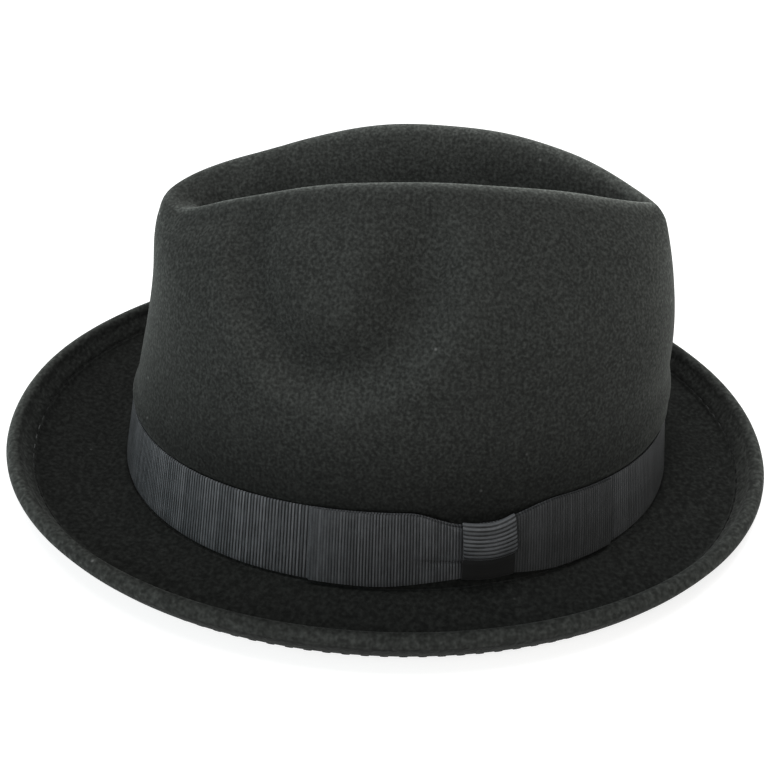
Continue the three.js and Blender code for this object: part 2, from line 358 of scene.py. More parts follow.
class FeltSheet:
    """The middle surface of the felt, as a function of a row of the ring table and an angle."""

    def __init__(self) -> None:
        """Turns the ring table into one array for each of its columns."""
        names = [column.name for column in fields(Oval)]
        self.columns = {name: np.array([getattr(ring, name) for ring in RINGS.values()]) for name in names}

    def column(self, name: str, row: Array) -> Array:
        """The value of a ring table column at rows between the table's own."""
        return spline(self.columns[name], row)

    def point(self, row: Array, angle: Array) -> Array:
        """Points of the middle surface, in millimetres.

        x is half_width times cos(angle) raised to the end's power, y is the reach times sin(angle), and
        z falls from the crest with a power of the share of the way to the ring's end, plus the presses.

        Args:
            row: Places in the ring table.
            angle: Angles round the head, 0 at the wearer's left and positive to the back.

        Returns:
            The points, with x, y and z on the last axis.
        """
        across = np.cos(angle)
        along = np.sin(angle)
        ring = Oval(**{name: self.column(name, row) for name in self.columns})
        power = np.where(along < 0, ring.front_power, ring.back_power)
        x = np.maximum(ring.half_width, 0) * np.sign(across) * np.abs(across) ** power
        y = along * np.where(along < 0, ring.front, ring.back)
        ahead = y < ring.crest_y
        share = (y - ring.crest_y) / (np.where(ahead, -ring.front, ring.back) - ring.crest_y)
        end_z = np.where(ahead, ring.front_z, ring.back_z)
        fall = np.where(ahead, ring.front_fall, ring.back_fall)
        z = mix(ring.side_z, end_z, np.abs(share) ** fall)
        degrees = to_degrees(angle)
        for press in PRESSES:
            near = bell(row, ROW[press.ring], press.rows)
            z = z + press.rise * near * bell(degrees, press.degrees, press.spread)
        return np.stack([x, CROWN_SET_BACK + y, z], axis=-1)

    def normal(self, row: Array, angle: Array) -> Array:
        """Outward unit normals: the tangent round the head crossed with the tangent up the rows."""
        step = 0.02
        higher = self.point(np.minimum(row + step, LAST_ROW), angle)
        lower = self.point(np.maximum(row - step, 0), angle)
        round_head = self.point(row, angle + step) - self.point(row, angle - step)
        return unit(np.cross(round_head, higher - lower))

    def in_from_rim(self, angle: Array, count: int) -> tuple[Array, Array]:
        """A column of rows over the brim's outer half, and how far in from the rim each lies."""
        dense = np.linspace(0, ROW["brim middle"], count)[:, None]
        return dense, arc_length(self.point(dense, angle), axis=0)


SHEET = FeltSheet()


@dataclass(frozen=True)
class Pinch:
    """The finger pinch on each side of the front: a ring-shaped groove round a point, open at the top."""

    y: float = -20.5
    z: float = 105.0
    radius_y: float = 39.0
    radius_z: float = 32.5
    depth: float = 6.5
    start: float = 0.30
    deepest: float = 0.80
    lip: float = 0.84
    end: float = 1.24
    opening: float = 0.15
    closed: float = 0.75
    front_share: float = 0.85
    front_headings: Span = (-0.9, 0.1)
    front_radius: float = 0.72
    front_span: Span = (-25.0, 15.0)
    # Painted shade over the groove and a painted highlight on the lip below it, as factors on the felt's
    # colour.
    shaded: float = 0.66
    shade_inside: float = 0.42
    shade_outside: float = 0.24
    shade_drop: float = 0.25
    darker: float = 0.23
    sheen: float = 1.14
    sheen_width: float = 0.15
    paler: float = 0.10

    def depth_at(self, row: Array, point: Array) -> Array:
        """How far the felt is pressed in, in millimetres.

        It is a step up from start to deepest times a step down from lip to end, both in radii from the
        middle. It fades in headings that point up, is shallower to the front, and ends at the ridge.

        Args:
            row: Places in the ring table.
            point: Points of the middle surface.

        Returns:
            The depth at each point.
        """
        y, z, radius = self.polar(point)
        bed = smooth(self.start, self.deepest, radius) * (1 - smooth(self.lip, self.end, radius))
        share = mix(self.front_share, 1.0, smooth(*self.front_headings, y / radius))
        on_wall = 1 - smooth(ROW["shoulder"], ROW["ridge"], row)
        return self.depth * bed * self.reach(z / radius) * share * on_wall

    def polar(self, point: Array) -> tuple[Array, Array, Array]:
        """A point's place from the pinch's middle, level and upward in radii, and its distance."""
        y = point[..., 1] - self.y
        y = y / (self.radius_y * mix(self.front_radius, 1.0, smooth(*self.front_span, y)))
        z = (point[..., 2] - self.z) / self.radius_z
        return y, z, np.maximum(np.hypot(y, z), 1e-6)

    def painted_light_at(self, point: Array) -> Array:
        """Painted light: painted shade by a bell over the groove and a painted highlight by one over the lip
        below it.
        """
        _, z, radius = self.polar(point)
        rise = z / radius
        width = np.where(radius < self.shaded, self.shade_inside, self.shade_outside)
        groove = bell(radius, self.shaded, width) * self.reach(rise + self.shade_drop)
        lip = bell(radius, self.sheen, self.sheen_width) * self.reach(rise)
        return 1 - self.darker * groove + self.paler * lip

    def reach(self, rise: Array) -> Array:
        """A step down from 1 to 0 as the heading from the pinch's middle turns up."""
        return 1 - smooth(self.opening, self.closed, rise)


@dataclass(frozen=True)
class BandLine:
    """Where the ribbon's inner face lies on the felt, at its lower or its upper edge."""

    half_width: float
    front: float
    back: float
    side_z: float
    end_z: float


BAND_FOOT = BandLine(half_width=85.7, front=102.7, back=102.9, side_z=7.6, end_z=3.5)
BAND_HEAD = BandLine(half_width=81.4, front=97.8, back=100.0, side_z=34.9, end_z=28.6)


@dataclass(frozen=True)
class Squeeze:
    """How far the knot draws the ribbon's two edges towards each other, by degrees round the head."""

    top: float = 0.18
    top_in: Span = (3.0, 14.0)
    top_out: Span = (18.0, 33.0)
    foot: float = 0.12
    foot_in: Span = (-4.0, 15.0)
    foot_out: Span = (19.0, 33.0)

    def level(self, angle: Array, level: Array) -> Array:
        """A level at rest drawn in: each edge moves by a step up before the knot times one down past it."""
        degrees = to_degrees(angle)
        head = 1 - self.top * smooth(*self.top_in, degrees) * (1 - smooth(*self.top_out, degrees))
        foot = self.foot * smooth(*self.foot_in, degrees) * (1 - smooth(*self.foot_out, degrees))
        return mix(foot, head, level)


SQUEEZE = Squeeze()


def on_felt(angle: Array, level: Array) -> Array:
    """Points of the band's inner face: an ellipse at every level, from 0 at its foot to 1 at its head."""
    level = SQUEEZE.level(angle, level)
    along = np.sin(angle)
    across = np.cos(angle)
    columns = [column.name for column in fields(BandLine)]
    line = {key: mix(getattr(BAND_FOOT, key), getattr(BAND_HEAD, key), level) for key in columns}
    x = line["half_width"] * across
    y = CROWN_SET_BACK + np.where(along < 0, line["front"], line["back"]) * along
    z = mix(line["end_z"], line["side_z"], across**2)
    return np.stack([x, y, z], axis=-1)


def on_band(angle: Array, level: Array, stand: Array) -> Array:
    """The points of on_felt moved outwards, level with the table, by the distance stand."""
    step = 0.01
    tangent = on_felt(angle + step, level) - on_felt(angle - step, level)
    flat = np.stack([tangent[..., 1], -tangent[..., 0], np.zeros_like(tangent[..., 0])], axis=-1)
    return on_felt(angle, level) + unit(flat) * np.asarray(stand)[..., None]


def place_object(name: str, data: bpy.types.ID) -> Piece:
    """Makes an object of some data and links it to the scene."""
    made = bpy.data.objects.new(name, data)
    bpy.context.scene.collection.objects.link(made)
    return made


def make_object(
    name: str,
    vertices: Array,
    quads: Array,
    uv: Array | None = None,
    tone: Array | None = None,
    ribbed: Array | None = None,
    weld: float = 0.0,
) -> Piece:
    """Puts arrays into a mesh object at the origin.

    Args:
        name: Name of the piece.
        vertices: Points in millimetres, one a row.
        quads: Vertex numbers of each face, one face a row.
        uv: Place of each vertex along and across the cloth in millimetres, or None.
        tone: Painted light and shade at each vertex, a factor on its colour, or None for 1.
        ribbed: How strongly its ribs show at each vertex, or None for 1.
        weld: Vertices closer than this many millimetres become one.

    Returns:
        The smooth shaded object, linked to the scene.
    """
    mesh = bpy.data.meshes.new(name)
    mesh.vertices.add(len(vertices))
    mesh.vertices.foreach_set("co", (vertices * MM).astype(np.float32).ravel())
    mesh.loops.add(quads.size)
    mesh.loops.foreach_set("vertex_index", quads.astype(np.int32).ravel())
    mesh.polygons.add(len(quads))
    mesh.polygons.foreach_set("loop_start", np.arange(0, quads.size, 4, dtype=np.int32))
    if uv is not None:
        layer = mesh.uv_layers.new(name="cloth")
        layer.data.foreach_set("uv", (uv[quads.ravel()] * MM).astype(np.float32).ravel())
    # The tone mark carries painted light and shade into the materials' colours.
    for mark, values in (("tone", tone), ("ribbed", ribbed)):
        layer = mesh.attributes.new(mark, "FLOAT", "POINT")
        layer.data.foreach_set("value", np.ones(len(vertices)) if values is None else values.ravel())
    mesh.update(calc_edges=True)
    mesh.validate()
    if weld:
        merge_points(mesh, weld * MM)
    mesh.shade_smooth()
    return place_object(name, mesh)


def merge_points(mesh: bpy.types.Mesh, distance: float) -> None:
    """Merges the vertices of a mesh that are closer than a distance in metres."""
    work = bmesh.new()
    work.from_mesh(mesh)
    bmesh.ops.remove_doubles(work, verts=work.verts, dist=distance)
    work.to_mesh(mesh)
    work.free()


def grid_quads(rows: int, columns: int, wrap_rows: bool, wrap_columns: bool) -> Array:
    """Vertex numbers of a grid's faces, four a row, which may wrap from the last row or column."""
    r = np.arange(rows if wrap_rows else rows - 1)[:, None]
    c = np.arange(columns if wrap_columns else columns - 1)[None, :]
    below = r * columns
    above = ((r + 1) % rows) * columns
    right = (c + 1) % columns
    return np.stack([below + c, below + right, above + right, above + c], axis=-1).reshape(-1, 4)


@dataclass(frozen=True)
class Wave:
    """A slow sine wave through the felt, with what its phase gains over a millimetre of x, y and z."""

    height: float
    gains: tuple[float, float, float]
    phase: float = 0.0

    def at(self, point: Array) -> Array:
        """The wave's height at some points."""
        return self.height * np.sin(point @ np.array(self.gains) + self.phase)


SWAY = (
    Wave(height=0.220, gains=(0, 1 / 11.0, 1 / 17.0), phase=1.3),
    Wave(height=0.154, gains=(1 / 9.0, 0, -1 / 13.0), phase=0.4),
    Wave(height=0.088, gains=(1 / 15.0, 1 / 6.5, -1 / 8.0)),
)


@dataclass(frozen=True)
class Swell:
    """A swell of the crown's wall: a bell in height above the ribbon, times a power of sin(angle)."""

    rise: float
    above: float
    width: float
    power: int = 0
    in_front: bool = True

    def at(self, above: Array, along: Array) -> Array:
        """How far the wall stands out, at heights above the ribbon and sines of the angle."""
        end = along if self.in_front else np.clip(along, 0, 1)
        return self.rise * bell(above, self.above, self.width) * end**self.power


SWELLS = (
    Swell(rise=0.45, above=2.4, width=2.2),
    Swell(rise=-1.2, above=-3.8, width=3.6),
    Swell(rise=0.7, above=3.0, width=2.6, power=6),
    Swell(rise=2.2, above=10.0, width=7.0, power=4, in_front=False),
)


@dataclass
class FeltBody:
    """Crown, brim and welted rim, pressed from one felt cone."""

    stations: int = 320
    upper_step: float = 1.35
    lower_step: float = 2.2
    welt_step: float = 0.32
    edge_steps: int = 9
    drafts: int = 40
    welt_margins: Span = (4.0, 3.0)
    weld: float = 0.002
    stitch_distance: float = 8.6
    raw_edge_distance: float = 10.4
    raw_edge_height: float = 0.45
    raw_edge_slope: float = 0.5
    stitch_groove: float = 0.35
    groove_width: float = 0.8
    welt_rise: Span = (2.6, 7.6)
    sway_row: float = 0.6
    fillet: float = 0.9
    fillet_row: float = 0.2
    fillet_rows: float = 0.6
    # Painted highlight along the crown's ridge, a bell added to the felt's painted light.
    highlight_row: float = 0.05
    highlight_inside: float = 0.42
    highlight_outside: Span = (0.22, 0.50)
    highlight_turn: Span = (0.1, 0.9)
    highlight_middle: float = 0.95
    wear_to_back: float = 0.65
    pinch: Pinch = Pinch()

    def rows(self, step: float, fine: float | None = None) -> Array:
        """Rows at which the felt is sampled: step millimetres apart, and fine across the welt."""
        whole = np.linspace(0, LAST_ROW, self.drafts * LAST_ROW + 1)
        along = arc_length(SHEET.point(whole, np.zeros_like(whole)), axis=0)
        wanted = np.arange(0, along[-1], step)
        if fine is not None:
            low = self.stitch_distance - self.welt_margins[0]
            high = self.raw_edge_distance + self.welt_margins[1]
            outside = wanted[(wanted < low) | (wanted > high)]
            wanted = np.sort(np.concatenate([outside, np.arange(low, high, fine)]))
        return np.append(np.interp(wanted, along, whole), LAST_ROW)

    def relief(self, row: Array, angle: Array, middle: Array) -> Array:
        """Small forms that both faces of the felt share.

        The felt sways by crossed sine waves. Its wall swells just above the ribbon, most of all at the back
        and the front, and is drawn in under it.

        Args:
            row: Places in the ring table.
            angle: Angles round the head.
            middle: Points of the middle surface.

        Returns:
            Distance along the outward normal at each point, in millimetres.
        """
        sway = sum(wave.at(middle) for wave in SWAY)
        calm = smooth(ROW["wall foot"], ROW["band top"] + self.sway_row, row)
        along = np.sin(angle)
        above = middle[..., 2] - mix(BAND_HEAD.side_z, BAND_HEAD.end_z, along**2)
        swell = sum(swell.at(above, along) for swell in SWELLS)
        on_wall = smooth(ROW["break"], ROW["wall foot"], row)
        on_wall = on_wall * (1 - smooth(ROW["mid wall"], ROW["upper wall"], row))
        return sway * calm + swell * on_wall

    def welt(self, row: Array, angle: Array) -> Array:
        """Height of the folded-over felt over a grid of the brim's upper face, dipped along its stitches."""
        dense, lengths = SHEET.in_from_rim(angle, 400)
        share = np.clip(row / ROW["brim middle"], 0, 1) * (len(dense) - 1)
        low = np.floor(share).astype(int)
        high = np.minimum(low + 1, len(dense) - 1)
        station = np.arange(angle.size)[None, :]
        distance = mix(lengths[low, station], lengths[high, station], share - low)
        edge = self.raw_edge_distance
        folded = self.raw_edge_height * (1 - smooth(edge - self.raw_edge_slope, edge, distance))
        groove = self.stitch_groove * bell(distance, self.stitch_distance, self.groove_width)
        return folded * smooth(*self.welt_rise, distance) - groove

    def face(self, row: Array, angle: Array, side: int) -> Array:
        """Points of the felt's upper (side 1) or lower (side -1) face.

        A point is the middle surface moved along its normal by half the thickness, less the pinch, plus
        the relief. The upper face has the welt too, and a bell of felt fills the corner at the crown's
        foot. Felt that would sink below the table lies flat on it.

        Args:
            row: Rows, as a column.
            angle: Angles, as a row.
            side: Which face.

        Returns:
            The points, in millimetres.
        """
        middle = SHEET.point(row, angle)
        offset = side * SHEET.column("thick", row) / 2 - self.pinch.depth_at(row, middle)
        offset = offset + self.relief(row, angle, middle)
        if side > 0:
            corner = self.fillet * bell(row, ROW["break"] + self.fillet_row, self.fillet_rows)
            offset = offset + self.welt(row, angle) + corner
        point = middle + SHEET.normal(row, angle) * offset[..., None]
        point[..., 2] = np.maximum(point[..., 2], 0)
        point[np.broadcast_to(row == LAST_ROW, point.shape[:-1]), 0] = 0
        return point

    def ridge_painted_highlight(self, row: Array, angle: Array) -> Array:
        """Painted highlight along the crown's ridge: a bell, wide inside it, and outside it wider to the
        back.
        """
        crest = ROW["ridge"] + self.highlight_row
        outside = mix(*self.highlight_outside, smooth(*self.highlight_turn, np.sin(angle)))
        highlight = bell(row, crest, np.where(row > crest, self.highlight_inside, outside))
        return highlight * (self.highlight_middle + self.wear_to_back * np.sin(angle))

    def edge(self, angle: Array) -> Array:
        """The rim's rounded edge: half a circle from the upper face round to the lower one."""
        row = np.zeros((1, 1))
        start = SHEET.point(row, angle)
        outward = unit(start - SHEET.point(row + ROW_STEP, angle))
        turn = (np.arange(1, self.edge_steps + 1) * np.pi / (self.edge_steps + 1))[:, None, None]
        radius = RIM.thick / 2
        rounding = SHEET.normal(row, angle) * np.cos(turn) + outward * np.sin(turn)
        return start + radius * rounding

    def build(self) -> Piece:
        """Joins the lower face, the edge and the upper face into one closed skin."""
        angle = (np.arange(self.stations) * 360 / self.stations - 90)[None, :] * DEGREE
        lower = self.face(self.rows(self.lower_step)[:, None], angle, -1)
        rows = self.rows(self.upper_step, self.welt_step)
        upper = self.face(rows[:, None], angle, 1)
        edge = self.edge(angle)[::-1]
        skin = np.concatenate([lower[::-1], edge, upper])
        quads = grid_quads(*skin.shape[:2], wrap_rows=False, wrap_columns=True)
        turn = np.linspace(1, 0, len(edge) + 2)[1:-1]
        # Painted light and shade over the skin: the lower face, the rounded edge and the upper face ring by
        # ring, with the ridge's painted highlight and the painted shade and highlights of the pinch and the
        # patches.
        below = np.full(lower.shape[:2], UNDERSIDE_PAINTED_SHADE)
        round_edge = shade_between(PAINTED_LIGHT_ON_EDGE, np.linspace(0, 1, len(PAINTED_LIGHT_ON_EDGE)), turn, angle)
        above = shade_between(PAINTED_LIGHT_BY_RING.values(), [ROW[name] for name in PAINTED_LIGHT_BY_RING], rows, angle)
        above += self.ridge_painted_highlight(rows[:, None], angle)
        middle = SHEET.point(rows[:, None], angle)
        for part in (self.pinch, *PAINTED_LIGHT_PATCHES):
            above *= part.painted_light_at(middle)
        tone = np.concatenate([below, round_edge, above])
        piece = make_object(PIECE_NAMES["felt"], skin.reshape(-1, 3), quads, tone=tone, weld=self.weld)
        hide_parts("felt_body")
        return piece


@dataclass(frozen=True)
class Ribbon:
    """Grosgrain: a thin cloth with round ribs across its length."""

    thick: float = 0.42
    rib_pitch: float = 1.0
    rib_height: float = 0.22
    selvage: float = 0.03
    samples: int = 6
    sharp_degrees: float = 70.0

    def stations(self, length: float) -> int:
        """How many stations a strip of this length needs, a whole number of ribs."""
        return max(1, round(length / self.rib_pitch)) * self.samples

    def spread(self, surface: Callable[[Array], Array], drafts: int) -> tuple[Array, float]:
        """Shares of a strip's length at which its stations lie evenly, and that length in millimetres."""
        shares = np.linspace(0, 1, drafts)
        along = arc_length(surface(shares), axis=0).mean(axis=1)
        places = np.linspace(0, along[-1], self.stations(along[-1]) + 1)
        return np.interp(places, along, shares), float(along[-1])

    def shell(self, name: str, points: Array, closed: bool, tone: Array, ribbed: Array) -> Piece:
        """A ribbed strip with two faces, made from its middle surface.

        Each face stands off by half the thickness plus a rib, the root of 1 - (2t - 1)^2 over each pitch,
        which dies out at the two edges. The UV counts ribs along the strip and millimetres across it.

        Args:
            name: Name of the piece.
            points: Stations along the strip by places across it, in millimetres.
            closed: Whether the last station joins the first.
            tone: Painted light and shade at each station, a factor on its colour.
            ribbed: How high its ribs stand at each station, as a share.

        Returns:
            The piece.
        """
        stations, places = points.shape[:2]
        ends = np.concatenate([points[-1:], points, points[:1]]) if closed else points
        along = np.gradient(ends, axis=0)
        along = along[1:-1] if closed else along
        normal = unit(np.cross(along, np.gradient(points, axis=1)))
        phase = np.arange(stations) / self.samples % 1
        rib = ribbed * self.rib_height * np.sqrt(np.clip(1 - (2 * phase - 1) ** 2, 0, 1))
        width = arc_length(points, axis=1).mean(axis=0)
        inland = smooth(0, self.selvage, np.minimum(width, width[-1] - width) / width[-1])
        stand = (self.thick / 2 + rib[:, None] * inland[None, :])[..., None]
        ring = np.concatenate([points + normal * stand, (points - normal * stand)[:, ::-1]], axis=1)
        count = 2 * places
        quads = grid_quads(stations, count, wrap_rows=closed, wrap_columns=True)
        if not closed:
            quads = np.concatenate([quads, self.end_faces(stations, places)])
        ribs, tone, ribbed = (
            np.repeat(column[:, None], count, axis=1)
            for column in (np.arange(stations) / self.samples, tone, ribbed)
        )
        across = np.tile(np.concatenate([width, width[::-1]]), (stations, 1))
        uv = np.stack([ribs, across], axis=-1).reshape(-1, 2)
        piece = make_object(name, ring.reshape(-1, 3), quads[:, ::-1], uv=uv, tone=tone, ribbed=ribbed)
        piece.data.set_sharp_from_angle(angle=np.radians(self.sharp_degrees))
        return piece

    def end_faces(self, stations: int, places: int) -> Array:
        """The faces that close a strip's two cut ends."""
        j = np.arange(places - 1)
        opposite = 2 * places - 1 - j
        first = np.stack([j, opposite, opposite - 1, j + 1], axis=-1)
        last = first[:, ::-1] + (stations - 1) * 2 * places
        return np.concatenate([first, last])


RIBBON = Ribbon()


def edge_spaced(count: int) -> Array:
    """Places from 0 to 1 that lie closer together at both ends: half of 1 - cos, spread from 0 to pi."""
    return (1 - np.cos(np.pi * np.linspace(0, 1, count))) / 2


def declare_ribbon(node: str, width: float) -> None:
    """Hides the imported solid that a strip replaces."""
    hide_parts(node)


def strip_width(points: Array) -> float:
    """Mean width of a strip, in millimetres."""
    return float(arc_length(points, axis=1)[:, -1].mean())


@dataclass
class Band:
    """The ribbon round the foot of the crown, with its painted light and shade and its flatter ribs by
    degrees round the head.
    """

    stand: float = 0.25
    lit: float = -48.0
    lit_spread: float = 34.0
    lit_gain: float = 0.78
    behind: Span = (15.0, 55.0)
    turned_away: Span = (60.0, 88.0)
    flat_back: float = 0.55
    dull_back: float = 0.3
    dull_front: float = 0.4
    painted_shade_return: float = 0.6
    places: int = 11
    drafts: int = 4001
    ribbon: Ribbon = replace(RIBBON, rib_pitch=1.15)

    def build(self) -> Piece:
        """Lays the ribbon round the crown: an ellipse at every level from its lower to its upper edge."""
        dense = np.linspace(0, 2 * np.pi, self.drafts)
        lengths = arc_length(on_felt(dense, np.full_like(dense, 0.5)), axis=0)
        stations = self.ribbon.stations(lengths[-1])
        angle = np.interp(np.arange(stations) * lengths[-1] / stations, lengths, dense)
        level = np.broadcast_to(edge_spaced(self.places)[None, :], (stations, self.places))
        round_head = np.broadcast_to(angle[:, None], level.shape)
        points = on_band(round_head, level, np.full(level.shape, self.stand))
        degrees = to_degrees(angle)
        # Painted light: paler where the lamps fall, between the near side and the front; painted shade
        # towards the back and at the front end.
        behind = smooth(*self.behind, degrees) - self.painted_shade_return * smooth(*self.turned_away, degrees)
        behind = behind * (degrees > 0)
        tone = 1 + self.lit_gain * bell(degrees, self.lit, self.lit_spread) - self.dull_back * behind
        tone -= self.dull_front * smooth(*self.turned_away, -degrees)
        ribbed = mix(1, self.flat_back, behind)
        piece = self.ribbon.shell(PIECE_NAMES["band"], points, closed=True, tone=tone, ribbed=ribbed)
        width = np.linalg.norm(points[0, -1] - points[0, 0])
        declare_ribbon("ribbon_band", width)
        return piece


@dataclass
class Loop:
    """A flat bow loop: ribbon that runs out from the knot, folds at its end and comes back over itself."""

    name: str
    node: str
    knot_angle: float
    end_angle: float
    drawn_from: float
    foot: float = 0.02
    head: float = 1.012
    drawn_foot: float = 0.0
    drawn_head: float = 1.0
    inner_stand: float = 0.80
    lift: float = 0.66
    swell: float = 0.4
    gathered: float = 0.4
    crease: float = 0.0
    crease_level: float = 0.36
    crease_width: float = 0.035
    crease_below: float = 0.02
    crease_above: float = 0.04
    crease_lap: float = 0.4
    under_knot: float = 2.2
    turn_from: float = 0.46
    # Painted shade: a factor on the whole loop's colour.
    shade: float = 1.0
    ribbed: float = 1.0
    fold_flat: float = 0.0
    fold_spread: float = 0.11
    places: int = 25
    drafts: int = 400
    ribbon: Ribbon = RIBBON

    def build(self) -> Piece:
        """Works the strip out along its length and ribs it, less so near its fold."""
        share, length = self.ribbon.spread(self.surface, self.drafts)
        points = self.surface(share)
        tone = np.full(len(points), self.shade)
        ribbed = self.ribbed * (1 - self.fold_flat * bell(share, 0.5, self.fold_spread))
        piece = self.ribbon.shell(self.name, points, closed=False, tone=tone, ribbed=ribbed)
        declare_ribbon(self.node, strip_width(points))
        return piece

    def surface(self, share: Array) -> Array:
        """Middle surface of the strip.

        Up to the share turn_from it is the layer on the band. From as far before its end it is the outer
        layer, and between them half a circle round the fold. Its belly is a sine hump and its end at the
        knot narrows and gathers.

        Args:
            share: Share of the strip's length, from under the knot back to under the knot.

        Returns:
            Grid of points, shares by places across the ribbon.
        """
        turn = np.clip((share - self.turn_from) / (1 - 2 * self.turn_from), 0, 1)
        knotward = np.clip((np.abs(share - 0.5) - 0.5 + self.turn_from) / self.turn_from, 0, 1)
        way = np.sign(self.end_angle - self.knot_angle)
        hidden = self.knot_angle - way * self.under_knot
        bulge = way * self.lift / 2 * np.sin(np.pi * turn) / (HEAD_RADIUS * DEGREE)
        angle = (mix(self.end_angle, hidden, knotward) + bulge) * DEGREE
        up = np.linspace(0, 1, self.places)[None, :]
        drawn = smooth(self.drawn_from, 1, knotward)[:, None]
        foot = mix(self.foot, self.drawn_foot, drawn)
        level = mix(foot, mix(self.head, self.drawn_head, drawn), up)
        belly = mix(self.swell * np.sin(np.pi * knotward)[:, None], self.gathered, drawn)
        lower = self.crease_level - self.crease_below
        overlap = self.crease_lap * smooth(lower, self.crease_level + self.crease_above, up)
        pleat = self.crease * drawn * (bell(up, lower, self.crease_width) - overlap)
        over = (self.lift * (1 - np.cos(np.pi * turn)) / 2)[:, None]
        stand = self.inner_stand + over + (over / self.lift) * (belly * np.sin(np.pi * up) - pleat)
        points = on_band(np.broadcast_to(angle[:, None], stand.shape), level, stand)
        return points[::-1] if way < 0 else points


@dataclass(frozen=True)
class KnotLine:
    """A place on the knot's profile: its level on the band and how far it stands off the felt."""

    level: float
    stand: float
    # Painted shade as a factor on the colour: the knot's lower half, under its bulge, is painted dark.
    tone: float = 1.0


# The knot's profile; its last column is painted shade, dark on the lower half under the bulge.
KNOT_PROFILE = (
    KnotLine(level=0.93, stand=0.9),
    KnotLine(level=1.03, stand=1.1),
    KnotLine(level=1.08, stand=1.9),
    KnotLine(level=1.02, stand=3.1),
    KnotLine(level=0.87, stand=4.0),
    KnotLine(level=0.70, stand=4.7),
    KnotLine(level=0.58, stand=4.9),
    KnotLine(level=0.51, stand=4.4),
    KnotLine(level=0.485, stand=3.4),
    KnotLine(level=0.46, stand=2.7, tone=0.2),
    KnotLine(level=0.30, stand=2.6, tone=0.0),
    KnotLine(level=0.13, stand=2.5, tone=0.0),
    KnotLine(level=0.02, stand=2.1, tone=0.0),
    KnotLine(level=-0.01, stand=1.4, tone=0.2),
    KnotLine(level=0.06, stand=0.9),
)


@dataclass
class Knot:
    """The short wrap across the bow, folded over itself at its middle."""

    from_angle: float = 13.0
    to_angle: float = 23.0
    places: int = 21
    rounding: float = 0.8
    rounding_power: float = 0.35
    rounding_inset: float = 0.06
    full_stand: float = 3.0
    least_stand: float = 0.6
    sag: float = 0.05
    unribbed: float = 0.1
    least_ribbed: float = 0.05
    drafts: int = 300
    ribbon: Ribbon = replace(RIBBON, rib_pitch=1.35, rib_height=0.28)

    def build(self) -> Piece:
        """Works the wrap out down its length and ribs it, less where its painted shade is deep."""
        share, length = self.ribbon.spread(self.surface, self.drafts)
        points = self.surface(share)
        tones = [line.tone for line in KNOT_PROFILE]
        tone = np.interp(share * (len(tones) - 1), np.arange(len(tones)), tones)
        ribbed = np.clip(tone - self.unribbed, self.least_ribbed, 1)
        piece = self.ribbon.shell(PIECE_NAMES["knot"], points, closed=False, tone=tone, ribbed=ribbed)
        declare_ribbon("bow_knot", strip_width(points))
        return piece

    def surface(self, share: Array) -> Array:
        """Middle surface of the wrap.

        Down the wrap it is a spline through the profile. Across it, it sags by a sine hump, and stands off
        by a sine hump raised to a small power, so that its two long edges turn in.

        Args:
            share: Share of the way from the upper tuck to the lower one.

        Returns:
            Grid of points, shares by places across the knot.
        """
        at = share * (len(KNOT_PROFILE) - 1)
        level = spline(np.array([line.level for line in KNOT_PROFILE]), at)[:, None]
        stand = spline(np.array([line.stand for line in KNOT_PROFILE]), at)[:, None]
        across = np.linspace(0, 1, self.places)[None, :]
        angle = mix(self.from_angle, self.to_angle, across) * DEGREE
        hump = np.sin(np.pi * mix(self.rounding_inset, 1 - self.rounding_inset, across))
        turned_in = self.rounding * (1 - hump**self.rounding_power)
        turned_in = turned_in * np.clip(stand / self.full_stand, 0, 1)
        stand = np.maximum(stand - turned_in, self.least_stand)
        level = level - self.sag * np.sin(np.pi * across)
        return on_band(np.broadcast_to(angle, level.shape), level, stand)


